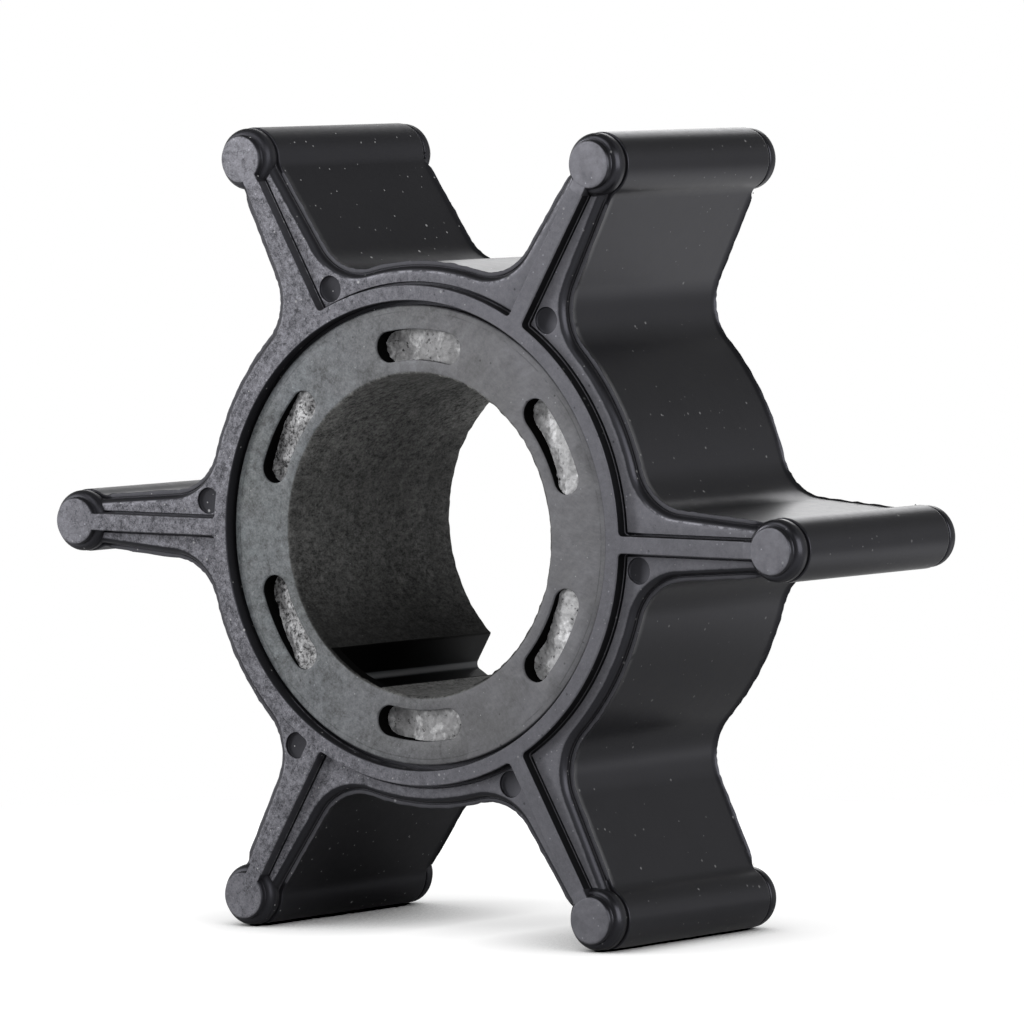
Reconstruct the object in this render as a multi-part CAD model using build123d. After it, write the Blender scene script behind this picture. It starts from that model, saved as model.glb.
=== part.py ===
from build123d import *
import math
import os

# Flexible pump impeller: a rubber moulding with six vanes, bonded round a hard bush
# that takes the drive shaft and its key.
#
# Frame: the origin is at the middle of the bore, the shaft axis lies along Y, the
# slotted face looks towards -Y and +Z is up. The part stands on its two lower vanes.
# Everything is drawn as seen from the front, X to the right and Y up, with Z coming
# out of the front face, and is laid into that frame at the end.

# Whole impeller
vane_count = 6
overall_width = 17.5
hub_radius = 16.15

# Vane: its half thickness is given at the hub's surface and at the bead's centre
bead_centre_radius = 25.5
bead_radius = 1.9
vane_root_half = 2.19
vane_tip_half = 1.47
root_fillet = 3.3
neck_fillet = 1.2

# Side faces: a step with rounded edges stands on a narrow ledge, and ribs with sloping
# sides stand on the step
ledge_depth = 1.3
ledge_width = 0.24
step_depth = 0.75
step_round = 0.52
rib_width = 1.0
ring_width = 0.9
rib_slope = 0.16

# End of each bead: a button with a bevelled rim on a domed shoulder
button_radius = 1.4
button_rim = 0.12
shoulder_radius = 1.82
shoulder_depth = 0.28

# Round dimple beside each vane's root, in front only, on the clockwise side
dimple_radius = 0.8
dimple_depth = 0.4
dimple_centre_radius = 15.87
dimple_turn = -5.5

# Bush
bush_radius = 13.65
bush_set_back = 0.6
bush_edge = 0.15
bore_radius = 9.55
bore_edge = 0.2

# Groove in the rubber round the bush's two faces
groove_width = 0.26
groove_depth = 0.45

# Keyway, closed towards the front by a thin lip
keyway_angle = 240
keyway_width = 4.2
keyway_bottom_radius = 11.75
keyway_corner = 0.4
keyway_lip = 0.8

# Slots in the bush's front face, halfway between the vanes, and the rubber in them
slot_radius = 11.3
slot_width = 1.84
slot_span = 31.4
slot_back_wall = 2.4
slot_fill_depth = 1.05

# Windows from the slots out through the bush's side, which lock the rubber to it
window_width = 3.6
window_length = 7.0
window_reach = 0.6

# Worked out from the sizes above
half_width = overall_width / 2
ledge_plane = half_width - ledge_depth
step_plane = half_width - step_depth
bush_plane = half_width - bush_set_back
ring_inner_radius = bush_radius + groove_width
ring_outer_radius = ring_inner_radius + ring_width
vane_angles = [index * 360 / vane_count for index in range(vane_count)]
slot_angles = [angle + 180 / vane_count for angle in vane_angles]


def turned(shape, angles):
    return [Rot(Z=angle) * shape for angle in angles]


def both_ends(shape):
    return [shape, Rot(X=180) * shape]


def corners_between(outline, inner, outer):
    # Corners of an outline that lie between two distances from the shaft axis
    return [corner for corner in outline.vertices() if inner < math.hypot(corner.X, corner.Y) < outer]


def vane_outline():
    # One tapered vane along X with its round bead, starting inside the hub
    taper = (vane_root_half - vane_tip_half) / (bead_centre_radius - hub_radius)
    start_half = vane_root_half + taper * (hub_radius - bush_radius)
    flanks = Polygon(
        (bush_radius, -start_half),
        (bead_centre_radius, -vane_tip_half),
        (bead_centre_radius, vane_tip_half),
        (bush_radius, start_half),
        align=None,
    )
    return flanks + Pos(bead_centre_radius, 0) * Circle(bead_radius)


def body_outline():
    # Hub and vanes, blended by large fillets at the roots and small ones behind the beads
    outline = Circle(hub_radius) + turned(vane_outline(), vane_angles)
    middle = (hub_radius + bead_centre_radius) / 2
    outline = fillet(corners_between(outline, 0, middle), root_fillet)
    return fillet(corners_between(outline, bead_centre_radius - bead_radius, bead_centre_radius), neck_fillet)


def raised_ring():
    # Round the bush, with a sloping outer side
    section = Plane.XZ * Polygon(
        (ring_inner_radius, step_plane),
        (ring_outer_radius + rib_slope, step_plane),
        (ring_outer_radius, half_width),
        (ring_inner_radius, half_width),
        align=None,
    )
    return revolve(section, Axis.Z)


def rib():
    # Along the middle of one vane, from the ring to the bead's button
    start = (ring_inner_radius + ring_outer_radius) / 2
    section = Plane.YZ * Polygon(
        (-rib_width / 2 - rib_slope, step_plane),
        (rib_width / 2 + rib_slope, step_plane),
        (rib_width / 2, half_width),
        (-rib_width / 2, half_width),
        align=None,
    )
    return Pos(start, 0) * extrude(section, bead_centre_radius - start)


def bead_end():
    # Turned from a half section: the shoulder's dome, then the button
    shoulder_plane = half_width - shoulder_depth
    dome = EllipticalCenterArc(
        (button_radius, ledge_plane),
        shoulder_radius - button_radius,
        shoulder_plane - ledge_plane,
        start_angle=0,
        arc_size=90,
    )
    button = Polyline(
        (button_radius, shoulder_plane),
        (button_radius, half_width - button_rim),
        (button_radius - button_rim, half_width),
        (0, half_width),
    )
    inside = Polyline((0, half_width), (0, 0), (shoulder_radius, 0), (shoulder_radius, ledge_plane))
    section = make_face([dome, button, inside])
    return Pos(bead_centre_radius, 0) * revolve(Plane.XZ * section, Axis.Z)


def slot_column(top_plane):
    # One slot along X, from its floor inside the bush up to the given plane
    end_turn = math.degrees(slot_width / 2 / slot_radius)
    centre_line = CenterArc((0, 0), slot_radius, end_turn - slot_span / 2, slot_span - 2 * end_turn)
    floor_plane = slot_back_wall - bush_plane
    return Pos(0, 0, floor_plane) * extrude(SlotArc(centre_line, slot_width), top_plane - floor_plane)


def window():
    # One window along X, from the slot's middle out past the bush's surface
    length = bush_radius + window_reach - slot_radius
    return Pos(slot_radius + length / 2, 0) * Box(length, window_width, window_length)


def rubber_body():
    outline = body_outline()
    body = extrude(outline, ledge_plane, both=True)
    step = extrude(offset(outline, -ledge_width), step_plane, both=True)
    step_edges = step.edges().group_by(Axis.Z)
    body += fillet(step_edges[0] + step_edges[-1], step_round)
    body += both_ends(raised_ring())
    for piece in both_ends(rib()) + both_ends(bead_end()):
        body += turned(piece, vane_angles)

    dimple_height = half_width - step_plane + dimple_depth
    dimple = Pos(dimple_centre_radius, 0, half_width - dimple_height / 2) * Cylinder(dimple_radius, dimple_height)
    body -= turned(dimple, [angle + dimple_turn for angle in vane_angles])

    body -= Cylinder(bush_radius, overall_width)
    groove_height = half_width - bush_plane + groove_depth
    groove = Pos(0, 0, half_width - groove_height / 2) * Cylinder(ring_inner_radius, groove_height)
    body -= both_ends(groove)

    keys = slot_column(bush_plane - slot_fill_depth) + window()
    return body + turned(keys, slot_angles)


def hub_bush():
    section = Plane.XZ * Polygon(
        (bore_radius, bush_plane - bore_edge),
        (bore_radius + bore_edge, bush_plane),
        (bush_radius - bush_edge, bush_plane),
        (bush_radius, bush_plane - bush_edge),
        (bush_radius, bush_edge - bush_plane),
        (bush_radius - bush_edge, -bush_plane),
        (bore_radius + bore_edge, -bush_plane),
        (bore_radius, bore_edge - bush_plane),
        align=None,
    )
    bush = revolve(section, Axis.Z)

    keyway = Rectangle(keyway_bottom_radius, keyway_width, align=(Align.MIN, Align.CENTER))
    keyway = fillet(keyway.vertices().group_by(Axis.X)[-1], keyway_corner)
    keyway_length = 2 * bush_plane - keyway_lip
    bush -= Pos(0, 0, -bush_plane) * Rot(Z=keyway_angle) * extrude(keyway, keyway_length)

    bush -= turned(slot_column(bush_plane), slot_angles)
    bush -= turned(window(), slot_angles)
    return bush


def main():
    os.makedirs("parts", exist_ok=True)
    pieces = {"rubber_body": rubber_body(), "hub_bush": hub_bush()}
    for name, piece in pieces.items():
        export_step(Plane.XZ * piece, f"parts/{name}.step")


main()
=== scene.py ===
import bpy
import bmesh
import math

import numpy as np
from mathutils import Matrix, Vector, noise


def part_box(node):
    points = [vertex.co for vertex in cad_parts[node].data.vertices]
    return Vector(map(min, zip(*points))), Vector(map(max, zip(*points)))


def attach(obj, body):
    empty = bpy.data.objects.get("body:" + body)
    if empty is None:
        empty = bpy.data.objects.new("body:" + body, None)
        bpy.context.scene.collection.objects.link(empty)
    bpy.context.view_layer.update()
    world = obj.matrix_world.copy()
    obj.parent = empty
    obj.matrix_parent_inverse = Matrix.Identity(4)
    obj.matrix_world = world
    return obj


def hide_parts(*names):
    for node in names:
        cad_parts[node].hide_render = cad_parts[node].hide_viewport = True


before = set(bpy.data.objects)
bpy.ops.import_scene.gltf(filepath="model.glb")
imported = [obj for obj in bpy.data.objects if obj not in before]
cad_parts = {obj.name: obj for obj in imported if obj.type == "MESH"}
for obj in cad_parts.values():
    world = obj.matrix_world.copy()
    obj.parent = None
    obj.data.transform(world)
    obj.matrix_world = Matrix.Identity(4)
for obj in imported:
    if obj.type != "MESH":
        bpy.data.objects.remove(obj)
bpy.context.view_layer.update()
mm = 0.001  # sizes below are in millimetres, the scene is in metres
print("frame loaded")

# Sizes that follow the frame
rubberLow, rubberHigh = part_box("rubber_body")
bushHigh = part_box("hub_bush")[1]
halfWidth = rubberHigh.y / mm
tipReach = rubberHigh.x / mm
bushRadius = bushHigh.x / mm
bushPlane = bushHigh.y / mm

vaneCount = 6
vaneTurn = 2 * math.pi / vaneCount
vaneTurns = [index * vaneTurn for index in range(vaneCount)]
slotTurns = [turn + vaneTurn / 2 for turn in vaneTurns]


class Wire:
    # One output of a node, so that sums on it read as sums
    def __init__(self, graph, socket):
        self.graph = graph
        self.socket = socket

    def maths(self, operation, *others):
        inputs = {index: value for index, value in enumerate((self,) + others)}
        return self.graph.node("ShaderNodeMath", {"operation": operation}, inputs)

    def __add__(self, other):
        return self.maths("ADD", other)

    def __radd__(self, other):
        return self.maths("ADD", other)

    def __sub__(self, other):
        return self.maths("SUBTRACT", other)

    def __rsub__(self, other):
        return self.graph.node("ShaderNodeMath", {"operation": "SUBTRACT"}, {0: other, 1: self})

    def __mul__(self, other):
        return self.maths("MULTIPLY", other)

    def __rmul__(self, other):
        return self.maths("MULTIPLY", other)

    def __truediv__(self, other):
        return self.maths("DIVIDE", other)

    def __pow__(self, other):
        return self.maths("POWER", other)

    def larger(self, other):
        return self.maths("MAXIMUM", other)

    def above(self, low, high):  # 0 below low, 1 above high, smooth between
        inputs = {0: self, 1: low, 2: high, 3: 0.0, 4: 1.0}
        return self.graph.node("ShaderNodeMapRange", {"interpolation_type": "SMOOTHSTEP"}, inputs)

    def below(self, low, high):  # 1 below low, 0 above high
        return 1.0 - self.above(low, high)

    def toward(self, other, share):  # the other where the share is 1
        return self + (other - self) * share


class Graph:
    # A node tree that nodes are added to by type, settings and inputs
    def __init__(self, tree):
        self.tree = tree

    def node(self, kind, settings=None, inputs=None, output=0):
        made = self.tree.nodes.new(kind)
        for name, value in (settings or {}).items():
            setattr(made, name, value)
        for key, value in (inputs or {}).items():
            if isinstance(value, Wire):
                self.tree.links.new(value.socket, made.inputs[key])
            else:
                made.inputs[key].default_value = value
        return Wire(self, made.outputs[output]) if made.outputs else None

    def mix(self, factor, first, second):  # colours
        return self.node("ShaderNodeMix", {"data_type": "RGBA"}, {0: factor, 6: first, 7: second}, 2)

    def colour(self, red, green, blue):
        return self.node("ShaderNodeCombineColor", None, {0: red, 1: green, 2: blue})

    def scaled(self, vector, factors):
        return self.node("ShaderNodeVectorMath", {"operation": "MULTIPLY"}, {0: vector, 1: factors})

    def between(self, first, second):  # distance of two points
        inputs = {0: first, 1: second}
        return self.node("ShaderNodeVectorMath", {"operation": "DISTANCE"}, inputs, "Value")

    def noise(self, vector, scale, detail=2.0, rough=0.5, output=0):
        inputs = {"Vector": vector, "Scale": scale, "Detail": detail, "Roughness": rough}
        return self.node("ShaderNodeTexNoise", None, inputs, output)

    def part(self, vector, axis):
        return self.node("ShaderNodeSeparateXYZ", None, {0: vector}, axis)

    def parts(self, vector):
        return [self.part(vector, axis) for axis in range(3)]

    def vector(self, x=0.0, y=0.0, z=0.0):
        return self.node("ShaderNodeCombineXYZ", None, {0: x, 1: y, 2: z})


def grey(value, blue=1.0):
    return (value, value, value * blue, 1.0)


def newMaterial(name):
    made = bpy.data.materials.new(name)
    made.use_nodes = True
    made.node_tree.nodes.clear()
    return made, Graph(made.node_tree)


def finishMaterial(graph, colour, rough, height, bump, shineBlue=1.0, hollowShade=None):
    bumpInputs = {"Strength": bump["strength"], "Distance": bump["distance"] * mm, "Height": height}
    normal = graph.node("ShaderNodeBump", None, bumpInputs)
    shine = grey(0.95, shineBlue)
    inputs = {"Base Color": colour, "Roughness": rough, "Normal": normal, "Specular Tint": shine}
    shader = graph.node("ShaderNodeBsdfPrincipled", None, inputs)
    if hollowShade:  # painted shade: deep hollows are mixed toward a near-black dull finish that takes no shine
        dull = graph.node("ShaderNodeBsdfDiffuse", None, {"Color": grey(0.003)})
        shader = graph.node("ShaderNodeMixShader", None, {0: hollowShade, 1: shader, 2: dull})
    graph.node("ShaderNodeOutputMaterial", None, {"Surface": shader})


def objectPlace(graph):  # object coordinates in millimetres
    place = graph.node("ShaderNodeTexCoord", None, None, "Object")
    return graph.scaled(place, (1 / mm, 1 / mm, 1 / mm))


def polar(x, z):  # distance from the shaft axis, and turn about it from +X to +Z
    return (x * x + z * z) ** 0.5, z.maths("ARCTAN2", x)


def awayFromNearest(radius, turn, centre):
    # Distance to the nearest of the points at that distance from the axis, one to a vane
    folded = turn.maths("WRAP", vaneTurn / 2, -vaneTurn / 2)
    across = radius * folded.maths("COSINE") - centre
    up = radius * folded.maths("SINE")
    return (across * across + up * up) ** 0.5


def specks(graph, place, scale, size, share):  # scattered dots, on a share of the cells
    settings = {"Vector": place, "Scale": scale, "Randomness": 1.0}
    cells = graph.node("ShaderNodeTexVoronoi", None, settings, "Distance")
    tint = graph.node("ShaderNodeTexVoronoi", None, settings, "Color")
    chosen = graph.part(tint, 0).above(1.0 - share, 1.01 - share)
    return cells.below(size * scale * 0.5, size * scale) * chosen


def grainSum(graph, place, scale, weights):  # noise at falling scales, each weighted, around 0
    total = 0.0
    for index, weight in enumerate(weights):
        layer = graph.noise(place, scale / 2.3 ** index, 1.5, 0.6)
        total = (layer - 0.5) * weight + total
    return total


def streaks(graph, place, turn, stretch, scale):  # noise drawn out along one direction, on a bent ground
    bend = graph.noise(place, 0.12, 1.0, output="Color")
    inputs = {0: bend, 1: (6.0, 0.0, 6.0), 2: place}
    bent = graph.node("ShaderNodeVectorMath", {"operation": "MULTIPLY_ADD"}, inputs)
    settings = {"Vector": bent, "Axis": (0.0, 1.0, 0.0), "Angle": turn}
    turned = graph.node("ShaderNodeVectorRotate", None, settings)
    return graph.noise(graph.scaled(turned, (1.0, 1.0, stretch)), scale, 5.0, 0.6)


def leftGrainAndLight(x):  # grain is coarser on the left; in the rubber this factor also paints light, lighter faces, ledge and walls on the left
    return 1.7 - 1.35 * x.above(-12.0, 8.0)


def meshObject(name, points, faces):
    mesh = bpy.data.meshes.new(name)
    mesh.from_pydata([tuple(point) for point in points], [], faces)
    made = bpy.data.objects.new(name, mesh)
    bpy.context.scene.collection.objects.link(made)
    shell = bmesh.new()
    shell.from_mesh(mesh)
    bmesh.ops.remove_doubles(shell, verts=shell.verts, dist=0.0005 * mm)
    bmesh.ops.recalc_face_normals(shell, faces=shell.faces)
    shell.to_mesh(mesh)
    shell.free()
    return made


def emptyObject(name):
    made = bpy.data.objects.new(name, bpy.data.meshes.new(name))
    bpy.context.scene.collection.objects.link(made)
    return made


def baked(made):  # the evaluated mesh takes the place of the modifiers
    graph = bpy.context.evaluated_depsgraph_get()
    plain = bpy.data.meshes.new_from_object(made.evaluated_get(graph), depsgraph=graph)
    made.modifiers.clear()
    made.data = plain
    return made


def cutOrJoin(base, tools):  # tools are (operation, object) pairs
    for index, (operation, tool) in enumerate(tools):
        modifier = base.modifiers.new(f"step{index}", "BOOLEAN")
        modifier.solver = "MANIFOLD"
        modifier.operation = operation
        modifier.object = tool
    baked(base)
    for step in tools:
        bpy.data.objects.remove(step[1])
    return base


def softShaded(made, sharpDegrees):  # smooth, but sharp where faces meet at more than the angle
    shell = bmesh.new()
    shell.from_mesh(made.data)
    bmesh.ops.remove_doubles(shell, verts=shell.verts, dist=0.001 * mm)
    for face in shell.faces:
        face.smooth = True
    for edge in shell.edges:
        edge.smooth = len(edge.link_faces) == 2 and edge.calc_face_angle() < math.radians(sharpDegrees)
    shell.to_mesh(made.data)
    shell.free()
    modifier = made.modifiers.new("weighted", "WEIGHTED_NORMAL")
    modifier.mode = "FACE_AREA"
    modifier.keep_sharp = True
    return baked(made)


def arc(centre, radius, start, end, count, side=1, last=False):  # points and their outward normals
    turns = np.linspace(start, end, count, endpoint=last)
    rays = np.stack([np.cos(turns), np.sin(turns)], 1)
    return np.array(centre) + radius * rays, side * rays


def line(start, end, count, normal):
    steps = np.linspace(0, 1, count, endpoint=False)[:, None]
    points = np.array(start) + steps * (np.array(end) - np.array(start))
    return points, np.tile(normal, (count, 1))


def joined(pieces):  # one outline from its lines and arcs
    return np.concatenate([piece[0] for piece in pieces]), np.concatenate([piece[1] for piece in pieces])


def spin(turn):  # matrix that turns rows of X and Z about the shaft axis
    return np.array([[math.cos(turn), math.sin(turn)], [-math.sin(turn), math.cos(turn)]])


def around(radius, turns):
    return [(radius * math.cos(turn), radius * math.sin(turn)) for turn in turns]


def roundTheHub(halfSector):  # from a vane's middle line to the next gap's, mirrored and turned into a loop
    points, normals = joined(halfSector)
    flip = np.array([1, -1])
    points = np.concatenate([(points * flip)[-2:0:-1], points])
    normals = np.concatenate([(normals * flip)[-2:0:-1], normals])
    return joined([(points @ spin(turn), normals @ spin(turn)) for turn in vaneTurns])


def sweptSolid(name, outline, profile, second=None, share=0.0, wobble=None):
    # The outline (X and Z) is drawn in by each inset of the profile and placed at its Y, with flat caps.
    # The second profile takes over where the share, given along the outline, is 1.
    points, normals = outline
    count = len(points)
    places = []
    for (inset, depth), (otherInset, otherDepth) in zip(profile, second or profile):
        across = inset + (otherInset - inset) * share
        if wobble:
            across = across - wobble(points, inset, depth) * (1.0 - share)
        ring = points - normals * np.reshape(across, (-1, 1))
        level = np.full(count, depth) + (otherDepth - depth) * share
        places.append(np.stack([ring[:, 0], level, ring[:, 1]], 1))
    places = np.concatenate(places) * mm
    faces = [list(range(count)), list(range(len(places) - 1, len(places) - 1 - count, -1))]
    for ring in range(len(profile) - 1):
        low = ring * count
        high = low + count
        for index in range(count):
            following = (index + 1) % count
            faces.append([low + index, high + index, high + following, low + following])
    return meshObject(name, places, faces)


def turnedSolid(name, profile, centres, segments):
    # The profile of radius and Y is turned round each centre in X and Z.
    # It runs from axis to axis, or it is a closed loop.
    turns = np.linspace(0, 2 * math.pi, segments, endpoint=False)
    places = []
    faces = []
    closed = profile[0][0] > 0
    for centre in centres:
        start = len(places) * segments
        for radius, depth in profile:
            x = centre[0] + radius * np.cos(turns)
            z = centre[1] + radius * np.sin(turns)
            places.append(np.stack([x, np.full(segments, depth), z], 1))
        spans = len(profile) if closed else len(profile) - 1
        for span in range(spans):
            low = start + span * segments
            high = start + (span + 1) % len(profile) * segments
            for index in range(segments):
                following = (index + 1) % segments
                faces.append([low + index, high + index, high + following, low + following])
    return meshObject(name, np.concatenate(places) * mm, faces)


def bothEnds(profile):  # front half of a profile, given as radius or inset and depth from the front plane
    front = [(across, depth - halfWidth) for across, depth in profile]
    return front + [(across, -depth) for across, depth in reversed(front)]


def placed(profile, back):  # depths from the front plane, or the same shape at the back
    return [(across, (halfWidth - depth) if back else (depth - halfWidth)) for across, depth in profile]


def quarter(centre, radii, start, end, count):  # part of an ellipse as (across, depth) pairs
    turns = np.linspace(start, end, count)
    return [(centre[0] + radii[0] * math.cos(turn), centre[1] + radii[1] * math.sin(turn)) for turn in turns]


# Rubber moulding
body = {
    "hubRadius": 16.15,
    "beadReach": 1.9,
    "beadRadius": 1.89,
    "rootHalf": 2.16,
    "tipHalf": 1.44,
    "rootFillet": 3.3,
    "neckFillet": 1.2,
    "stepDepth": 0.75,
    "stepRound": (0.52, 0.5),
    "ledgeDepth": 1.3,
    "ledgeWidth": 0.24,
    "beadFront": 1.46,
    "wobble": 0.09,
    "wobbleRate": 4.7,
    "wobbleLimits": (-0.03, 0.05),
}
beadCentre = tipReach - body["beadReach"]

# Rings and ribs on the step, and the narrow groove round their foot
raised = {
    "top": 0.03,
    "ringOuter": 14.81,
    "ribHalf": 0.5,
    "cornerFillet": 0.28,
    "edgeRound": 0.07,
    "draft": 0.04,
    "sink": 0.4,
    "moatWidth": 0.165,
    "ringMoatWidth": 0.2,
    "moatDepth": 0.2,
}

# Button and shoulder at each end of a bead
beadEnd = {
    "button": 1.43,
    "rim": 0.2,
    "creaseDepth": 0.38,
    "shoulder": 1.84,
    "shoulderFrom": 0.42,
    "shoulderFull": 0.95,
    "shoulderTo": 1.16,
    "neck": 1.73,
    "sink": 2.5,
}

dimple = {
    "centre": 15.87,
    "turn": math.radians(-5.5),
    "radius": 0.8,
    "depth": 0.22,
    "flare": 0.02,
}

# Hole that the bush sits in, with the groove round the bush's faces
pocket = {
    "groove": 0.26,
    "grooveDepth": 0.45,
    "lip": 0.08,
}


def bodyOutline():
    size = body
    hubPoint = np.array([size["hubRadius"], size["rootHalf"]])
    tipPoint = np.array([beadCentre, size["tipHalf"]])
    along = (tipPoint - hubPoint) / np.linalg.norm(tipPoint - hubPoint)
    outward = np.array([-along[1], along[0]])

    def fillet(radius, distance, target, side):  # centre of an arc that touches the flank and a circle
        start = hubPoint + outward * radius - target
        middle = -start @ along
        spread = math.sqrt(distance ** 2 - (start @ start - middle ** 2))
        return hubPoint + outward * radius + along * (middle + side * spread)

    root = fillet(size["rootFillet"], size["hubRadius"] + size["rootFillet"], np.zeros(2), 1)
    bead = np.array([beadCentre, 0])
    neck = fillet(size["neckFillet"], size["beadRadius"] + size["neckFillet"], bead, -1)
    flankTurn = math.atan2(-outward[1], -outward[0])
    neckTurn = math.atan2(*(neck - bead)[::-1])
    rootTurn = math.atan2(root[1], root[0])
    return roundTheHub([
        arc(bead, size["beadRadius"], 0, neckTurn, 26),
        arc(neck, size["neckFillet"], neckTurn - math.pi, flankTurn, 5, -1),
        line(neck - outward * size["neckFillet"], root - outward * size["rootFillet"], 14, outward),
        arc(root, size["rootFillet"], flankTurn, rootTurn - math.pi, 18, -1),
        arc((0, 0), size["hubRadius"], rootTurn, vaneTurn / 2, 14, last=True),
    ])


def stepRounding():
    across, down = body["stepRound"]
    centre = (body["ledgeWidth"] + across, body["stepDepth"] + down)
    return quarter(centre, (-across, -down), math.pi / 2, 0, 9)


def bodyEdge():  # rounded step, crease, ledge and flash
    ledge = body["ledgeDepth"]
    width = body["ledgeWidth"]
    return stepRounding() + [
        (width, ledge + 0.01),
        (width - 0.02, ledge + 0.06),
        (width - 0.08, ledge + 0.06),
        (width - 0.11, ledge),
        (0.03, ledge - 0.01),
        (-0.05, ledge + 0.01),
        (-0.09, ledge + 0.05),
        (-0.05, ledge + 0.1),
        (0, ledge + 0.17),
        (0, ledge + 0.6),
        (0, ledge + 2.5),
        (0, ledge + 5.0),
    ]


def beadEdge():  # the same rings beside a bead: no crease and no flash, and a lower front
    ledge = body["ledgeDepth"]
    width = body["ledgeWidth"]
    front = body["beadFront"]
    return stepRounding() + [
        (width, front),
        (width - 0.03, front),
        (width - 0.08, front),
        (width - 0.12, front),
        (0.05, front),
        (0.02, front + 0.015),
        (0.005, front + 0.04),
        (0, front + 0.08),
        (0, front + 0.12),
        (0, ledge + 0.6),
        (0, ledge + 2.5),
        (0, ledge + 5.0),
    ]


def nearBead(points):  # 1 beside a bead's centre, 0 from its neck on
    turns = np.arctan2(points[:, 1], points[:, 0])
    folded = (turns + vaneTurn / 2) % vaneTurn - vaneTurn / 2
    reach = np.linalg.norm(points, axis=1)
    away = np.hypot(reach * np.cos(folded) - beadCentre, reach * np.sin(folded))
    blend = np.clip((2.6 - away) / 0.6, 0.0, 1.0)
    return blend * blend * (3.0 - 2.0 * blend)


def partingWobble(points, inset, depth):  # the parting edges of the mould are a little uneven
    near = max(0.0, 1.0 - abs(abs(depth) - (halfWidth - body["ledgeDepth"])) / 0.25)
    if near == 0.0 or inset > 0.07:
        return np.zeros(len(points))
    rate = body["wobbleRate"]
    waves = [noise.noise(Vector((x * rate, z * rate, math.copysign(5, depth)))) for x, z in points]
    return near * np.clip(np.array(waves) * body["wobble"], *body["wobbleLimits"])


def raisedOutline():
    size = raised
    ribEnd = beadCentre - 0.4
    reach = size["ringOuter"] + size["cornerFillet"]
    lift = size["ribHalf"] + size["cornerFillet"]
    corner = np.array([math.sqrt(reach ** 2 - lift ** 2), lift])
    turn = math.atan2(corner[1], corner[0])
    return roundTheHub([
        line((ribEnd, 0), (ribEnd, size["ribHalf"]), 2, (1, 0)),
        line((ribEnd, size["ribHalf"]), (corner[0], size["ribHalf"]), 10, (0, 1)),
        arc(corner, size["cornerFillet"], -math.pi / 2, turn - math.pi, 5, -1),
        arc((0, 0), size["ringOuter"], turn, vaneTurn / 2, 16, last=True),
    ])


def nearRing(points):  # 1 round the ring, 0 along the ribs
    return np.clip((raised["ringOuter"] + 0.8 - np.linalg.norm(points, axis=1)) / 0.5, 0.0, 1.0)


def raisedProfile():
    size = raised
    floor = body["stepDepth"]
    edge = size["edgeRound"]
    rounding = quarter((edge, size["top"] + edge), (-edge, -edge), math.pi / 2, 0, 5)
    return rounding + [(-size["draft"], floor), (-size["draft"], floor + size["sink"])]


def moatProfile(width):
    floor = body["stepDepth"]
    return [
        (-width - 0.05, floor - 0.2),
        (-width - 0.03, floor),
        (-width, floor + 0.04),
        (-width + 0.03, floor + raised["moatDepth"]),
    ]


def beadEndProfile():
    size = beadEnd
    rim = size["rim"]
    crown = size["button"] - rim
    flat = size["button"] + 0.06
    reach = (size["shoulder"] - flat, size["shoulderFrom"] - size["shoulderFull"])
    under = size["shoulder"] - size["neck"]
    return (
        [(0, 0), (crown * 0.6, 0)]
        + quarter((crown, rim), (rim, -rim), math.pi / 2, 0, 7)
        + [(size["button"], size["creaseDepth"]), (size["button"] + 0.02, size["creaseDepth"] + 0.03)]
        + quarter((flat, size["shoulderFull"]), reach, math.pi / 2, 0, 10)
        + quarter((size["neck"], size["shoulderTo"]), (under, 0.12), 0, math.pi / 2, 5)
        + [(size["neck"], size["sink"]), (0, size["sink"])]
    )


def dimpleProfile():
    size = dimple
    floor = body["stepDepth"]
    flare = size["flare"]
    edge = size["radius"] + flare
    corner = 0.1
    bottom = floor + size["depth"]
    return (
        [(0, floor - 0.3), (edge, floor - 0.3)]
        + quarter((edge, floor + flare), (-flare, -flare), math.pi / 2, 0, 4)
        + quarter((size["radius"] - corner, bottom - corner), (corner, corner), 0, math.pi / 2, 4)
        + [(0, bottom)]
    )


def pocketProfile():
    size = pocket
    lip = size["lip"]
    outer = bushRadius + size["groove"]
    bottom = halfWidth - bushPlane + size["grooveDepth"]
    return (
        [(0, -1.0), (outer + lip, -1.0)]
        + quarter((outer + lip, raised["top"] + lip), (-lip, -lip), math.pi / 2, 0, 5)
        + [(outer, bottom), (bushRadius, bottom), (bushRadius, bottom + 0.5)]
    )


def buildRubber():
    outline = bodyOutline()
    share = nearBead(outline[0])
    plain = bothEnds(bodyEdge())
    beside = bothEnds(beadEdge())
    base = sweptSolid("impellerRubber", outline, plain, beside, share, partingWobble)
    foot = raisedOutline()
    beads = around(beadCentre, vaneTurns)
    tools = []
    for back in (False, True):
        narrow = placed(moatProfile(raised["moatWidth"]), back)
        wide = placed(moatProfile(raised["ringMoatWidth"]), back)
        moat = sweptSolid("moat", foot, narrow, wide, nearRing(foot[0]))
        plate = sweptSolid("plate", foot, placed(raisedProfile(), back))
        ends = turnedSolid("ends", placed(beadEndProfile(), back), beads, 56)
        tools += [("DIFFERENCE", moat), ("UNION", plate), ("UNION", ends)]
    dimplePlaces = around(dimple["centre"], [turn + dimple["turn"] for turn in vaneTurns])
    dimples = turnedSolid("dimples", placed(dimpleProfile(), False), dimplePlaces, 40)
    hole = turnedSolid("hole", bothEnds(pocketProfile()), [(0, 0)], 288)
    tools += [("DIFFERENCE", dimples), ("DIFFERENCE", hole)]
    cutOrJoin(base, tools)
    return softShaded(base, 38)


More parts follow.
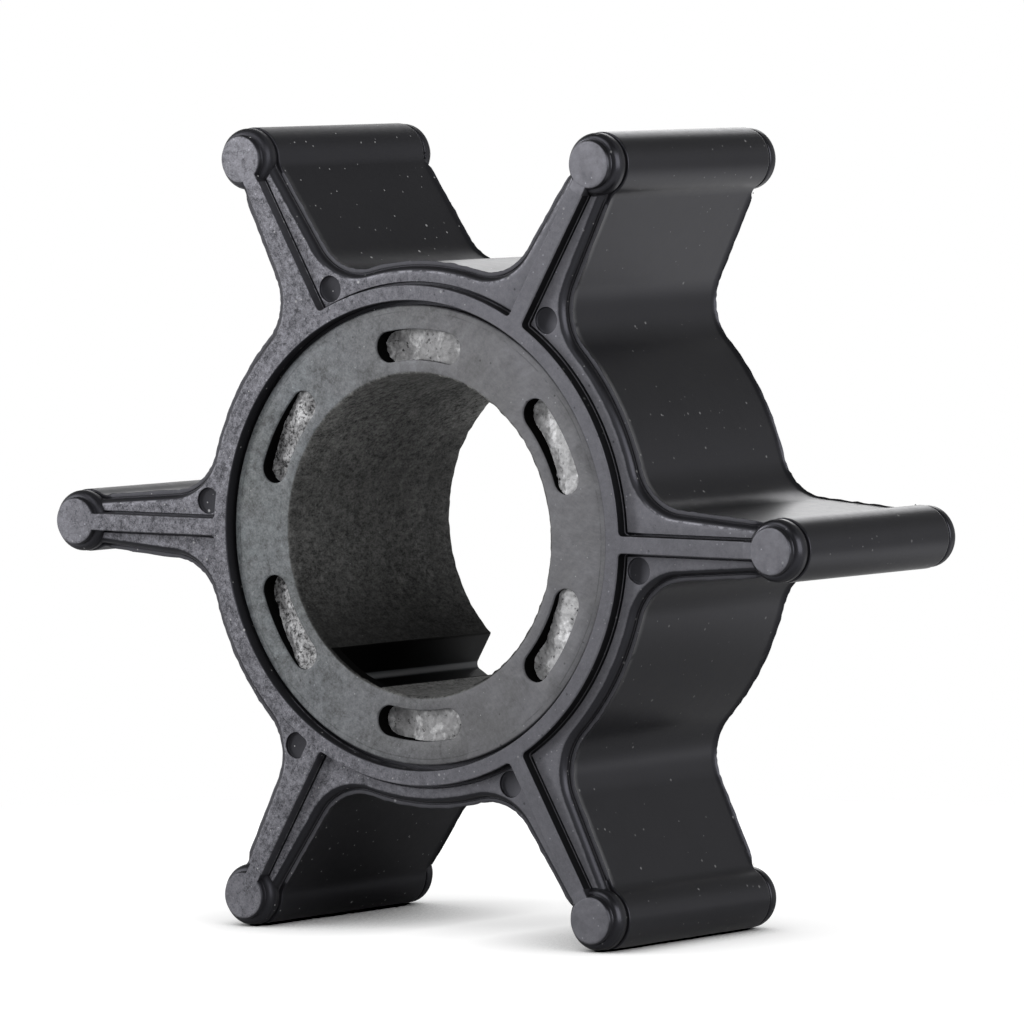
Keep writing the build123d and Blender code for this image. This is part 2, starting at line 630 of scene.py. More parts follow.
rubberLook = {
    "flank": 0.007,
    "side": 0.123,
    "button": 0.16,
    # painted shade: the walls of ribs and ring get a dark tone for the shade they stand in
    "wall": 0.018,
    "ledge": 0.05,
    "dimple": 0.01,
    # painted highlight on the up-facing edge margins
    "paintedEdgeHighlight": 0.25,
    "dust": 0.5,
    "dustShare": 0.75,
    "green": 0.995,
    "blue": 1.1,
    "shineBlue": 1.16,
    "flankRough": 0.32,
    "sideRough": 0.6,
    "grain": 11.0,
    "grainWeights": (1.1, 0.9, 0.9),
    # painted light: the tone rises with height, for light falling from above
    "paintedLightPerMmUp": 0.006,
    "bump": {"strength": 0.35, "distance": 0.03},
}


def rubberZones(graph, place, scuff):  # masks of the moulding's surfaces, 1 on each and 0 off it
    x, y, z = graph.parts(place)
    radius, turn = polar(x, z)
    depth = halfWidth - y.maths("ABSOLUTE")
    ragged = (scuff - 0.5) * 0.06
    floor = body["stepDepth"]
    ledge = body["ledgeDepth"]
    top = raised["top"]
    shoulder = beadEnd["shoulder"]
    ringInner = bushRadius + pocket["groove"]
    dimpleFloor = floor + dimple["depth"]
    fromDimple = awayFromNearest(radius, turn - dimple["turn"], dimple["centre"])
    normal = graph.node("ShaderNodeNewGeometry", None, None, "Normal")
    upLeft = graph.part(normal, 2) - graph.part(normal, 0) * 0.8

    pastButton = depth.above(0.02, 0.09)
    inBead = awayFromNearest(radius, turn, beadCentre).below(shoulder + 0.02, shoulder + 0.06)
    outOfBead = 1.0 - inBead
    pastGroove = radius.above(ringInner + 0.02, ringInner + 0.08)
    tops = (depth + ragged).below(top + 0.07, top + 0.11)
    flat = depth.above(floor - 0.03, floor - 0.01) * (depth + ragged).below(floor + 0.02, floor + 0.06)
    wall = depth.above(top + 0.1, top + 0.14) * depth.below(floor - 0.06, floor - 0.03)
    bowl = fromDimple.below(dimple["radius"] - 0.1, dimple["radius"])
    bowl = bowl * depth.above(floor + 0.04, dimpleFloor - 0.04)
    # painted highlight: the step's margins facing up and left, where the key light glints, broken up by the
    # scuff noise
    paintedEdgeHighlight = upLeft.above(0.03, 0.3) * depth.above(floor, floor + 0.01)
    paintedEdgeHighlight = paintedEdgeHighlight * (depth + ragged * 1.5).below(floor + 0.05, floor + 0.13) * outOfBead
    return {
        "grained": (tops + flat) * pastGroove * (1.0 - inBead * pastButton),
        "flat": flat,
        "button": inBead * (1.0 - pastButton),
        "ledge": depth.above(ledge - 0.03, ledge - 0.02) * depth.below(ledge + 0.03, ledge + 0.05),
        "dimple": bowl * depth.below(dimpleFloor + 0.02, dimpleFloor + 0.04),
        "wall": wall * outOfBead * pastGroove,
        "paintedEdgeHighlight": paintedEdgeHighlight * (0.15 + 1.1 * scuff.above(0.4, 0.62)),
        "margin": depth.above(floor - 0.05, floor) * depth.below(floor + 0.1, floor + 0.22),
    }


def rubberMaterial():
    look = rubberLook
    made, graph = newMaterial("mouldedRubber")
    place = objectPlace(graph)
    x = graph.part(place, 0)
    left = leftGrainAndLight(x)
    cloud = graph.noise(place, 0.35, 4.0, 0.6)
    scuff = graph.noise(place, 1.6, 6.0, 0.75)
    smudge = graph.noise(place, 1.1, 4.0, 0.7)
    veins = (graph.noise(place, 1.0, 3.0, 0.6) - 0.5).maths("ABSOLUTE").below(0.0, 0.02)
    grain = grainSum(graph, place, look["grain"], look["grainWeights"])
    on = rubberZones(graph, place, scuff)

    # The grained finish of the raised tops, the step's flat and the buttons, with painted light: lighter
    # toward the top, the buttons most, and lighter toward the left
    paintedTopLight = graph.part(place, 2) * look["paintedLightPerMmUp"]
    sideTone = look["side"] * (1.0 + paintedTopLight + 0.15 * on["flat"]) * (0.84 + 0.34 * left)
    sideTone = sideTone + (look["button"] - look["side"]) * on["button"] * (1.0 + 3.0 * paintedTopLight)
    rub = 0.85 + 0.42 * (cloud - 0.5) + 0.4 * scuff.above(0.56, 0.85)
    coarse = grain * left * (1.0 - 0.6 * on["button"]) + (smudge - 0.5) * (0.35 + 0.75 * on["button"])
    coarse = coarse + 0.9 * specks(graph, place, 2.6, 0.07, 0.25) - 0.45 * specks(graph, place, 1.7, 0.1, 0.2)
    coarse = coarse - 0.2 * veins * left
    sideTone = sideTone * (rub + coarse).larger(0.25)

    # The smooth flanks, with the dimples, the ledge, the walls of ribs and ring in painted shade that is
    # deeper on the right, and a painted highlight on up-facing edge margins
    flankTone = look["flank"] * (0.7 + 0.6 * cloud) + look["dimple"] * on["dimple"] * (0.8 + 0.5 * grain)
    flankTone = flankTone + look["ledge"] * on["ledge"] * (0.4 + scuff) * (0.6 + 0.5 * left)
    # painted shade: the walls are dark, and darker on the right
    wallShadeTone = look["wall"] * (0.1 + 0.9 * left) * (1.0 + 0.5 * grain)
    flankTone = flankTone + (wallShadeTone - look["flank"]) * on["wall"]
    flankTone = flankTone + look["paintedEdgeHighlight"] * on["paintedEdgeHighlight"]

    tone = flankTone.toward(sideTone, on["grained"])
    dust = specks(graph, place, 0.9, 0.11, 0.35).larger(specks(graph, place, 2.0, 0.06, 0.35))
    dust = dust * (0.35 + 0.65 * x.below(-8.0, 8.0))
    shade = graph.colour(tone, tone * look["green"], tone * look["blue"])
    colour = graph.mix(dust * look["dustShare"], shade, grey(look["dust"]))

    matt = on["grained"].larger(on["ledge"]).larger(on["dimple"] * 0.7).larger(on["margin"])
    worn = (left - 0.35) * 0.12
    rough = look["flankRough"] + worn + (look["sideRough"] - look["flankRough"]) * matt + 0.14 * (scuff - 0.5)
    height = grain * (0.08 + 0.3 * on["grained"]) + 0.3 * scuff
    # painted shade: on the right the walls are mixed partly toward the near-black dull finish
    hollowShade = on["wall"] * x.above(2.0, 9.0) * 0.65
    finishMaterial(graph, colour, rough, height, look["bump"], look["shineBlue"], hollowShade)
    return made


rubber = buildRubber()
rubberFinish = rubberMaterial()
rubber.data.materials.clear()
rubber.data.materials.append(rubberFinish)
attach(rubber, "root")
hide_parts("rubber_body")
print("rubber moulding made,", len(rubber.data.polygons), "faces")

# Bush
bush = {
    "bore": 9.55,
    "edge": 0.12,
    "boreEdge": 0.2,
    "slotRadius": 11.3,
    "slotWidth": 1.84,
    "slotSpan": math.radians(31.4),
    "slotDepth": 1.9,
    "slotRim": 0.06,
    "keyTurn": math.radians(240),
    "keyWidth": 4.2,
    "keyBottom": 11.75,
    "keyCorner": 0.4,
    "keyLip": 0.8,
    "chip": 0.1,
    "chipRate": 1.9,
}


def slotOutline(turn):  # stadium bent round the shaft axis
    size = bush
    half = size["slotWidth"] / 2
    radius = size["slotRadius"]
    reach = size["slotSpan"] / 2 - half / radius
    start = turn - reach
    end = turn + reach
    return joined([
        arc((0, 0), radius + half, start, end, 24),
        arc(around(radius, [end])[0], half, end, end + math.pi, 14),
        arc((0, 0), radius - half, end, start, 24, -1),
        arc(around(radius, [start])[0], half, start + math.pi, start + 2 * math.pi, 14),
    ])


def slotProfile():  # from its rounded rim down
    front = -bushPlane
    rim = bush["slotRim"]
    rounding = quarter((-rim, front + rim), (rim, -rim), math.pi / 2, 0, 5)
    return [(-rim, front - 0.5)] + rounding + [(0, front + bush["slotDepth"])]


def keyOutline():
    size = bush
    half = size["keyWidth"] / 2
    corner = size["keyCorner"]
    inner = size["keyBottom"] - corner
    points, normals = joined([
        line((0, -half), (inner, -half), 2, (0, -1)),
        arc((inner, -half + corner), corner, -math.pi / 2, 0, 6),
        arc((inner, half - corner), corner, 0, math.pi / 2, 6),
        line((inner, half), (0, half), 3, (0, 1)),
    ])
    return points @ spin(size["keyTurn"]), normals @ spin(size["keyTurn"])


def bushProfile():
    size = bush
    plane = bushPlane
    outer = bushRadius - 0.01
    edge = size["edge"]
    bore = size["boreEdge"]
    lip = quarter((size["bore"] + bore, bore - plane), (-bore, -bore), 0, math.pi / 2, 6)
    corner = quarter((outer - edge, edge - plane), (edge, -edge), math.pi / 2, 0, 5)
    front = lip + corner
    back = [(across, -depth) for across, depth in reversed(front)]
    inside = [(size["bore"], depth) for depth in np.linspace(plane - 1, 1 - plane, 12)]
    return front + [(outer, 0.0)] + back + inside


def chipBore(made):  # the bore's two edges are a little torn
    size = bush
    for vertex in made.data.vertices:
        x, y, z = vertex.co / mm
        if abs(y) <= bushPlane - 0.4:
            continue
        reach = math.hypot(x, z)
        near = max(0.0, 1.0 - abs(reach - size["bore"]) / 0.3)
        wave = noise.noise(Vector((x * size["chipRate"], z * size["chipRate"], math.copysign(7, y))))
        vertex.co += Vector((x, 0, z)) / reach * wave * near * size["chip"] * mm


def buildBush():
    base = turnedSolid("hubBush", bushProfile(), [(0, 0)], 288)
    chipBore(base)
    tools = [("DIFFERENCE", sweptSolid("slot", slotOutline(turn), slotProfile())) for turn in slotTurns]
    key = sweptSolid("key", keyOutline(), [(0, bush["keyLip"] - bushPlane), (0, bushPlane + 1)])
    cutOrJoin(base, tools + [("DIFFERENCE", key)])
    return softShaded(base, 35)


bushLook = {
    "face": 0.143,
    # painted shade: the slot walls are near black
    "wall": 0.018,
    "bore": 0.05,
    # painted shade: the keyway is near black
    "key": 0.004,
    "dust": 0.55,
    "dustShare": 0.45,
    "blue": 1.08,
    "rough": 0.5,
    "boreRough": 0.75,
    "grain": 10.0,
    "grainWeights": (0.75, 0.5, 0.55),
    "boreWeights": (2.4, 2.4, 1.5),
    # painted light: the tone rises with height, for light falling from above
    "paintedLightPerMmUp": 0.006,
    "rim": 13.25,
    "mark": (2.6, -12.6),
    "markRadius": 1.0,
    "patch": (-6.7, 3.8, 6.8),
    "boreFade": (9.62, 9.76),
    "slotInner": (10.0, 10.1),
    "slotOuter": (12.6, 12.8),
    "slotBack": (-5.0, -4.0),
    "keyInner": (9.0, 9.1),
    "keyOuter": (11.8, 11.84),
    "keySide": (2.15, 2.2),
    "bump": {"strength": 0.4, "distance": 0.05},
}


def bushZones(graph, place, smudge):  # masks of the hollows, 1 in each and 0 out of it
    look = bushLook
    x, y, z = graph.parts(place)
    radius = polar(x, z)[0]
    front = -bushPlane
    along = x * math.cos(bush["keyTurn"]) + z * math.sin(bush["keyTurn"])
    across = z * math.cos(bush["keyTurn"]) - x * math.sin(bush["keyTurn"])
    inKeyway = along.above(*look["keyInner"]) * along.below(*look["keyOuter"])
    inKeyway = inKeyway * across.maths("ABSOLUTE").below(*look["keySide"])
    inKeyway = inKeyway * y.above(front + 0.05, front + 0.1)
    inSlot = radius.above(*look["slotInner"]) * radius.below(*look["slotOuter"])
    inSlot = inSlot * y.below(*look["slotBack"])
    return {
        "bore": (radius + 0.1 * (smudge - 0.5)).below(*look["boreFade"]),
        "slot": inSlot * y.above(front + 0.08, front + 0.2),
        "keyway": inKeyway,
        "keyCorner": inKeyway * across.below(-1.95, -1.75) * along.above(11.3, 11.45),
        "openEnd": y.above(-3.0, bushPlane),
        "low": z.below(-8.5, -1.0) * z.above(-9.2, -8.0),
    }


def bushFaceTone(graph, place, left, cloud, smudge, blot, mark):
    look = bushLook
    z = graph.part(place, 2)
    radius = polar(graph.part(place, 0), z)[0]
    grain = grainSum(graph, place, look["grain"], look["grainWeights"])
    bands = streaks(graph, place, 0.7, 3.0, 0.8)
    wipes = streaks(graph, place, -0.5, 5.0, 1.6)
    rim = (radius - look["rim"] + 0.25 * (cloud - 0.5)).maths("ABSOLUTE").below(0.015, 0.06)
    wear = 0.82 + 0.55 * (cloud - 0.5) + 0.28 * smudge.above(0.48, 0.8) - 0.3 * blot.above(0.52, 0.75)
    wear = wear + 0.6 * (bands - 0.5) + 0.4 * (wipes - 0.5) + 0.4 * wipes.above(0.66, 0.78)
    wear = wear + 0.8 * specks(graph, place, 2.2, 0.06, 0.2) - 0.5 * specks(graph, place, 1.5, 0.09, 0.2)
    # painted light: the face is lighter toward the top
    tone = look["face"] * (wear + grain * left).larger(0.3) * (1.0 + look["paintedLightPerMmUp"] * z)
    return tone * (1.0 - 0.14 * mark) * (1.0 - 0.35 * rim * smudge.above(0.42, 0.55)), grain


def bushBoreTone(graph, place, low, cloud, smudge, blot):
    look = bushLook
    y = graph.part(place, 1)
    z = graph.part(place, 2)
    drawn = graph.scaled(place, (1.0, 0.6, 1.0))
    grain = grainSum(graph, drawn, look["grain"], look["boreWeights"])
    patch = (graph.between(drawn, look["patch"]) + 0.8 * (blot - 0.5)).below(1.5, 1.65)
    band = (y + 1.2 * (blot - 0.5)).above(5.3, 5.5) * z.below(4.0, 7.0) * z.above(-6.0, -3.0)
    tone = look["bore"] * (0.85 + grain + 0.9 * (cloud - 0.5) + 0.9 * smudge.above(0.5, 0.75))
    tone = tone + 0.05 * specks(graph, place, 1.8, 0.09, 0.3)
    # painted light and shade: the bore is lighter high up and toward the back opening, and darker low down
    tone = tone * (1.5 + 1.9 * z.above(2.0, 9.0) - 1.1 * low) * (1.0 + 0.03 * y)
    return (tone * (1.0 - 0.35 * band) * (1.0 + 0.25 * patch)).larger(0.004), grain


def bushMaterial():
    look = bushLook
    made, graph = newMaterial("mouldedBush")
    place = objectPlace(graph)
    x = graph.part(place, 0)
    y = graph.part(place, 1)
    cloud = graph.noise(place, 0.2, 4.0, 0.6)
    smudge = graph.noise(graph.scaled(place, (0.7, 1.0, 1.3)), 0.8, 6.0, 0.7)
    blot = graph.noise(graph.scaled(place, (1.2, 1.0, 0.8)), 0.55, 5.0, 0.6)
    on = bushZones(graph, place, smudge)
    outOfBore = 1.0 - on["bore"]

    # A faint round mark on the face, and painted shade in the hollows: near-black slot walls and keyway, the
    # keyway with a painted highlight at its corner and painted light toward its open end
    fromMark = graph.between(place, graph.vector(x=look["mark"][0], y=y, z=look["mark"][1]))
    mark = (fromMark - look["markRadius"]).maths("ABSOLUTE").below(0.02, 0.12)
    faceTone, grain = bushFaceTone(graph, place, leftGrainAndLight(x), cloud, smudge, blot, mark)
    boreTone, boreGrain = bushBoreTone(graph, place, on["low"], cloud, smudge, blot)
    # painted highlight at the keyway's corner and painted light toward its open end, on a near-black painted
    # shade
    keyTone = look["key"] * (1.0 + 14.0 * on["keyCorner"] + 7.0 * on["openEnd"])
    tone = faceTone.toward(look["wall"], on["slot"]).toward(boreTone, on["bore"])
    tone = tone.toward(keyTone, on["keyway"])

    # The face is greener on the left and bluer in clouds
    green = x.below(-13.0, 4.0) * outOfBore * (0.3 + smudge)
    cool = outOfBore * (look["blue"] - 1.0) * (0.2 + 1.6 * cloud) - 0.03 * on["bore"]
    shade = graph.colour(tone * (1.0 - 0.07 * green), tone * (1.0 + 0.03 * green), tone * (1.0 + cool))
    dust = specks(graph, place, 1.3, 0.05, 0.2).larger(specks(graph, place, 2.7, 0.03, 0.2))
    colour = graph.mix(dust * look["dustShare"] * (1.0 - 0.6 * on["bore"]), shade, grey(look["dust"]))
    rough = look["rough"] + (look["boreRough"] - look["rough"]) * on["bore"] + 0.2 * (smudge - 0.5)
    height = grain * 0.2 + boreGrain * 0.35 * on["bore"] + 0.4 * smudge - 0.3 * mark
    # painted shade: keyway, slots and the bore's low part are mixed toward the dark dull finish
    hollowShade = on["keyway"] * (1.0 - on["keyCorner"].larger(on["openEnd"] * 0.6))
    hollowShade = hollowShade.larger(on["slot"]).larger(on["bore"] * on["low"] * 0.6)
    finishMaterial(graph, colour, rough, height, look["bump"], 1.0, hollowShade)
    return made


hubBush = buildBush()
hubBush.data.materials.clear()
hubBush.data.materials.append(bushMaterial())
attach(hubBush, "root")
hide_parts("hub_bush")
print("bush made,", len(hubBush.data.polygons), "faces")


def geometryTree(name, values):
    tree = bpy.data.node_groups.new(name, "GeometryNodeTree")
    tree.interface.new_socket("Geometry", in_out="INPUT", socket_type="NodeSocketGeometry")
    tree.interface.new_socket("Geometry", in_out="OUTPUT", socket_type="NodeSocketGeometry")
    for label, value in values.items():
        kind = "NodeSocketInt" if isinstance(value, int) else "NodeSocketFloat"
        tree.interface.new_socket(label, in_out="INPUT", socket_type=kind)
    graph = Graph(tree)
    group = tree.nodes.new("NodeGroupInput")
    inputs = {label: Wire(graph, group.outputs[label]) for label in ["Geometry"] + list(values)}
    return tree, graph, inputs


def runTree(made, tree, values):
    modifier = made.modifiers.new("shape", "NODES")
    modifier.node_group = tree
    for item in tree.interface.items_tree:
        if item.item_type == "SOCKET" and item.in_out == "INPUT" and item.name in values:
            modifier[item.identifier] = values[item.name]
    return baked(made)


def finishTree(graph, shape, material):
    realised = graph.node("GeometryNodeRealizeInstances", None, {0: shape})
    painted = graph.node("GeometryNodeSetMaterial", None, {0: realised, "Material": material})
    graph.node("NodeGroupOutput", None, {0: painted})


# Torn rubber that fills the slots
slotFill = {
    "Count": vaneCount,
    "Radius": bush["slotRadius"] * mm,
    "Span": bush["slotSpan"] + math.radians(1.0),
    "Width": (bush["slotWidth"] + 0.06) * mm,
    "Height": 1.2 * mm,
    "Top": (0.58 - bushPlane) * mm,
    "Rough": 0.32 * mm,
    "Slope": 0.38,
    "Drop": 0.5 * mm,
    "Rise": 0.3 * mm,
    "Least": -0.48 * mm,
    "Grain": 0.14 * mm,
}

tornLook = {
    "light": 0.66,
    "mid": 0.27,
    "dark": 0.035,
    "blue": 1.02,
    "rough": 0.7,
    "bump": {"strength": 0.6, "distance": 0.08},
}


def tornMaterial():
    look = tornLook
    made, graph = newMaterial("tornRubber")
    place = objectPlace(graph)
    x = graph.part(place, 0)
    cloud = graph.noise(place, 0.8, 4.0, 0.65)
    grain = graph.noise(place, 4.2, 4.0, 0.68)
    pits = graph.noise(graph.scaled(place, (1.0, 0.2, 1.0)), 3.4, 4.0, 0.7)
    leftmost = x.below(-9.0, -5.0)
    tone = look["mid"] * (0.45 + 1.1 * grain) * (1.0 + 0.75 * x.above(4.0, 9.0))
    tone = tone + (look["light"] - look["mid"]) * cloud.above(0.5, 0.66) * (0.3 + grain)
    tone = tone.toward(look["light"], grain.above(0.5, 0.62) * leftmost * 0.5)
    tone = tone.toward(look["dark"], pits.above(0.58, 0.68).larger(grain.below(0.38, 0.48) * leftmost))
    height = grain - 0.8 * pits.above(0.56, 0.7)
    finishMaterial(graph, graph.colour(tone, tone, tone * look["blue"]), look["rough"], height, look["bump"])
    return made


def fillStrip(graph, size):  # one bent bar, its outer side facing -Y
    arcInputs = {
        "Resolution": 90,
        "Radius": size["Radius"],
        "Start Angle": size["Span"] * -0.5,
        "Sweep Angle": size["Span"],
    }
    spine = graph.node("GeometryNodeCurveArc", None, arcInputs)
    sides = {"Width": size["Width"], "Height": size["Height"]}
    section = graph.node("GeometryNodeCurvePrimitiveQuadrilateral", None, sides)
    section = graph.node("GeometryNodeSubdivideCurve", None, {0: section, 1: 21})
    sweep = {"Curve": spine, "Profile Curve": section, "Fill Caps": True}
    strip = graph.node("GeometryNodeCurveToMesh", None, sweep)
    lift = graph.vector(z=size["Top"] * -1.0 - size["Height"] * 0.5)
    strip = graph.node("GeometryNodeTransform", None, {0: strip, "Translation": lift})
    return graph.node("GeometryNodeTransform", None, {0: strip, "Rotation": (math.pi / 2, 0.0, 0.0)})


def buildSlotFill(material):
    tree, graph, size = geometryTree("tornFill", slotFill)
    points = graph.node("GeometryNodePoints", None, {"Count": size["Count"]})
    index = graph.node("GeometryNodeInputIndex")
    facing = graph.vector(y=(index + 0.5) * (2 * math.pi) / size["Count"])
    copyInputs = {"Points": points, "Instance": fillStrip(graph, size), "Rotation": facing}
    copies = graph.node("GeometryNodeInstanceOnPoints", None, copyInputs)
    solid = graph.node("GeometryNodeRealizeInstances", None, {0: copies})

    # The face is lumpy, and in each slot it lies deeper toward -X
    place = graph.node("GeometryNodeInputPosition")
    x, y, z = graph.parts(place)
    isTop = (size["Top"] + 0.02 * mm - y).above(0.0, 0.01 * mm)
    lumps = graph.noise(place, 900.0, 2.0, 0.5) - 0.5
    crumbs = graph.noise(place, 4200.0, 3.0, 0.7) - 0.5
    turn = z.maths("ARCTAN2", x)
    folded = (turn - vaneTurn / 2).maths("WRAP", vaneTurn / 2, -vaneTurn / 2)
    middle = (turn - folded).maths("COSINE") * size["Radius"]
    slope = ((middle - x) * size["Slope"]).maths("MINIMUM", size["Drop"]).larger(size["Rise"] * -1.0)
    lower = lumps * size["Rough"] * 2.0 + crumbs * size["Grain"] * 2.0 + slope
    offset = graph.vector(y=lower.larger(size["Least"]) * isTop)
    torn = graph.node("GeometryNodeSetPosition", None, {0: solid, "Offset": offset})
    finishTree(graph, torn, material)
    return runTree(emptyObject("tornSlotFill"), tree, slotFill)


fill = buildSlotFill(tornMaterial())
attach(fill, "root")
print("slot fill made,", len(fill.data.polygons), "faces")

# Flash nubs along the mould's parting edges
flash = {
    "Spacing": 0.3 * mm,
    "Least": 0.02 * mm,
    "Most": 0.06 * mm,
    "Keep": 0.5,
    "Jitter": 0.05 * mm,
    "Seed": 11,
}


def partingLine(name):  # the outline at the back ledge, but not round the beads
    points = bodyOutline()[0]
    depth = halfWidth - body["ledgeDepth"] - 0.05
    keep = np.linalg.norm(points, axis=1) < tipReach - 2.4
    places = np.stack([points[:, 0], np.full(len(points), depth), points[:, 1]], 1) * mm
    pairs = [(index, (index + 1) % len(places)) for index in range(len(places))]
    links = [(first, second) for first, second in pairs if keep[first] and keep[second]]
    made = emptyObject(name)
    made.data.from_pydata([tuple(place) for place in places], links, [])
    return made


def buildFlash(material):
    tree, graph, size = geometryTree("flashNubs", flash)
    seed = size["Seed"]
    jitter = size["Jitter"]

    def randomVector(low, high, own):
        inputs = {0: low, 1: high, "Seed": own}
        return graph.node("FunctionNodeRandomValue", {"data_type": "FLOAT_VECTOR"}, inputs, 0)

    path = graph.node("GeometryNodeMeshToCurve", None, {0: size["Geometry"]})
    along = {"Curve": path, "Length": size["Spacing"]}
    spots = graph.node("GeometryNodeCurveToPoints", {"mode": "LENGTH"}, along)
    chance = {"Probability": size["Keep"], "Seed": seed}
    kept = graph.node("FunctionNodeRandomValue", {"data_type": "BOOLEAN"}, chance, 3)
    least = graph.vector(x=size["Least"], y=size["Least"], z=size["Least"])
    most = graph.vector(x=size["Most"] * 1.5, y=size["Most"], z=size["Most"] * 1.5)
    scale = randomVector(least, most, seed + 1)
    low = graph.vector(x=jitter * -0.3, y=jitter * -1.0, z=jitter * -0.3)
    high = graph.vector(x=jitter * 0.3, y=jitter, z=jitter * 0.3)
    shift = randomVector(low, high, seed + 2)
    moved = graph.node("GeometryNodeSetPosition", None, {0: spots, "Offset": shift})
    nub = graph.node("GeometryNodeMeshIcoSphere", None, {"Radius": 1.0, "Subdivisions": 2})
    copyInputs = {"Points": moved, "Selection": kept, "Instance": nub, "Scale": scale}
    copies = graph.node("GeometryNodeInstanceOnPoints", None, copyInputs)
    finishTree(graph, copies, material)
    return runTree(partingLine("partingFlash"), tree, flash)


nubs = buildFlash(rubberFinish)
for polygon in nubs.data.polygons:
    polygon.use_smooth = True
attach(nubs, "root")
print("flash made,", len(nubs.data.polygons), "faces")

# Floor, light and camera
studio = {
    "floorSize": 3.0,
    "floorTone": 0.42,
    "seenTone": 2.2,
    "plainFrom": 0.036,
    "plainTo": 0.085,
    "shadowLift": 0.78,
    "contactReach": (0.008, 0.035),
    "contactDark": (1.0, 0.14),
    "rightDim": 0.6,
    "frontDim": 0.75,
    "ambient": 0.45,
    "darkSky": 0.1,
    "skyFrom": 0.18,
    "skyTo": 0.6,
}

lamps = {
    "top": {"place": (-0.02, -0.085, 0.1), "size": (0.1, 0.08), "power": 0.06},
    "front": {"place": (-0.35, -0.265, 0.07), "size": (0.1, 0.2), "power": 0.85},
    "right": {"place": (0.295, -0.052, 0.09), "size": (0.32, 0.26), "power": 0.78, "upright": True},
    "back": {"place": (-0.34, 0.65, 0.3), "size": (0.35, 0.35), "power": 0.65},
}

view = {
    "azimuth": 35.8,
    "elevation": 3.55,
    "roll": 0.154,
    "distance": 552.6,
    "aim": (0.59, 0.52, 0.96),
    "lens": 324.6,
}


def buildFloor():
    half = studio["floorSize"] / 2
    low = rubberLow.z
    corners = [(-half, -half, low), (half, -half, low), (half, half, low), (-half, half, low)]
    floor = meshObject("floor", corners, [[0, 1, 2, 3]])
    made, graph = newMaterial("floorWhite")
    place = graph.node("ShaderNodeTexCoord", None, None, "Object")
    seen = graph.node("ShaderNodeLightPath", None, None, "Is Camera Ray")
    mirrored = graph.node("ShaderNodeLightPath", None, None, "Is Glossy Ray")
    tone = studio["floorTone"] + (studio["seenTone"] - studio["floorTone"]) * seen
    matt = graph.node("ShaderNodeBsdfDiffuse", None, {"Color": graph.colour(tone, tone, tone)})

    # The plain white seen by the camera carries a painted shadow, darker where the part is near; it is also
    # darker in reflections to the right and front
    dimmed = studio["rightDim"] * graph.part(place, 0).above(0.0, 0.15)
    dimmed = dimmed.larger(studio["frontDim"] * graph.part(place, 1).below(-0.2, -0.03))
    # painted contact shadow from ambient occlusion, seen by the camera only
    contact = 0.0
    for reach, dark in zip(studio["contactReach"], studio["contactDark"]):
        openness = graph.node("ShaderNodeAmbientOcclusion", {"samples": 6}, {"Distance": reach}, "AO")
        contact = (1.0 - openness) * dark + contact
    speckle = graph.noise(place, 5000.0, 2.0, 0.7)
    glow = 1.0 - dimmed * mirrored - seen * contact * (0.6 + 0.8 * speckle)
    plain = graph.node("ShaderNodeEmission", None, {"Color": graph.colour(glow, glow, glow), "Strength": 1.0})
    distance = graph.between(graph.scaled(place, (1.0, 1.0, 0.0)), (0.0, 0.0, 0.0))
    far = distance.above(studio["plainFrom"], studio["plainTo"])
    share = (seen * studio["shadowLift"]).larger(far * seen.larger(mirrored))
    surface = graph.node("ShaderNodeMixShader", None, {0: share, 1: matt, 2: plain})
    graph.node("ShaderNodeOutputMaterial", None, {"Surface": surface})
    floor.data.materials.append(made)


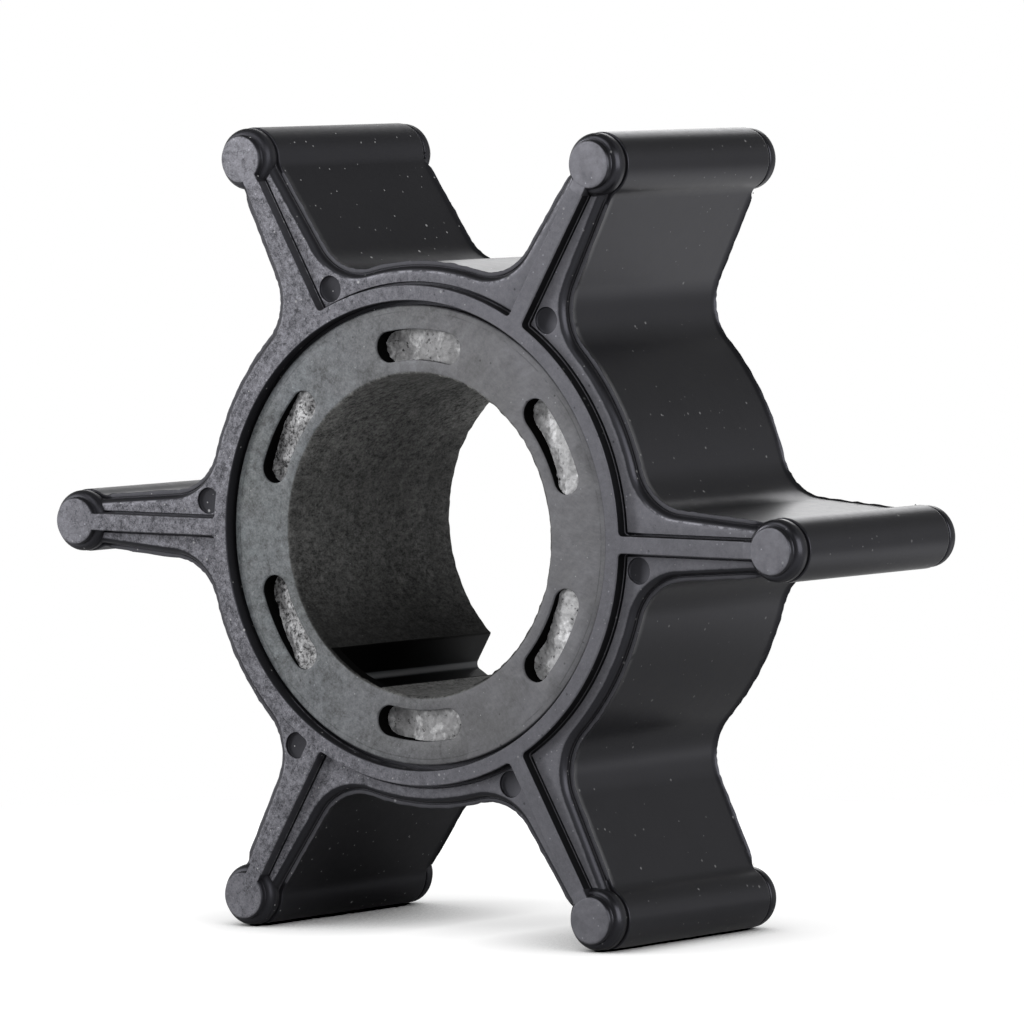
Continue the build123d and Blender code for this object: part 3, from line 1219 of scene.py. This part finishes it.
def buildWorld():
    world = bpy.data.worlds.new("studio")
    bpy.context.scene.world = world
    world.use_nodes = True
    world.node_tree.nodes.clear()
    graph = Graph(world.node_tree)
    seen = graph.node("ShaderNodeLightPath", None, None, "Is Camera Ray")
    mirrored = graph.node("ShaderNodeLightPath", None, None, "Is Glossy Ray")
    through = graph.node("ShaderNodeLightPath", None, None, "Is Transmission Ray")
    toward = graph.node("ShaderNodeTexCoord", None, None, "Generated")
    sky = 1.0 - (1.0 - studio["darkSky"]) * graph.part(toward, 2).above(studio["skyFrom"], studio["skyTo"])
    dimmed = studio["rightDim"] * graph.part(toward, 0).above(0.0, 0.5)
    dimmed = dimmed.larger(studio["frontDim"] * graph.part(toward, 1).below(-0.7, 0.0))
    sky = sky * (1.0 - dimmed)
    ambient = studio["ambient"]
    glow = ambient + (1.0 - ambient) * seen.larger(through) + (sky - ambient) * mirrored
    shade = graph.colour(glow, glow, glow)
    light = graph.node("ShaderNodeBackground", None, {"Color": shade, "Strength": 1.0})
    graph.node("ShaderNodeOutputWorld", None, {"Surface": light})


def buildLamp(name):
    settings = lamps[name]
    data = bpy.data.lights.new(name, "AREA")
    data.shape = "RECTANGLE"
    data.size, data.size_y = settings["size"]
    data.energy = settings["power"]
    lamp = bpy.data.objects.new(name, data)
    lamp.location = settings["place"]
    toward = Vector(settings["place"])
    if settings.get("upright"):
        toward.z = 0.0
    lamp.rotation_euler = toward.to_track_quat("Z", "Y").to_euler()
    lamp.visible_camera = False
    bpy.context.scene.collection.objects.link(lamp)


def buildCamera():
    azimuth = math.radians(view["azimuth"])
    elevation = math.radians(view["elevation"])
    flat = math.cos(elevation)
    toward = Vector((math.sin(azimuth) * flat, -math.cos(azimuth) * flat, math.sin(elevation)))
    data = bpy.data.cameras.new("camera")
    data.sensor_width = 36.0
    data.lens = view["lens"]
    data.clip_start = 0.01
    data.clip_end = 10.0
    camera = bpy.data.objects.new("camera", data)
    roll = Matrix.Rotation(math.radians(-view["roll"]), 4, "Z")
    turn = toward.to_track_quat("Z", "Y").to_matrix().to_4x4() @ roll
    place = (Vector(view["aim"]) + toward * view["distance"]) * mm
    camera.matrix_world = Matrix.Translation(place) @ turn
    bpy.context.scene.collection.objects.link(camera)
    bpy.context.scene.camera = camera


buildFloor()
buildWorld()
for lampName in lamps:
    buildLamp(lampName)
buildCamera()
bpy.context.scene.view_settings.view_transform = "Standard"
print("studio made")
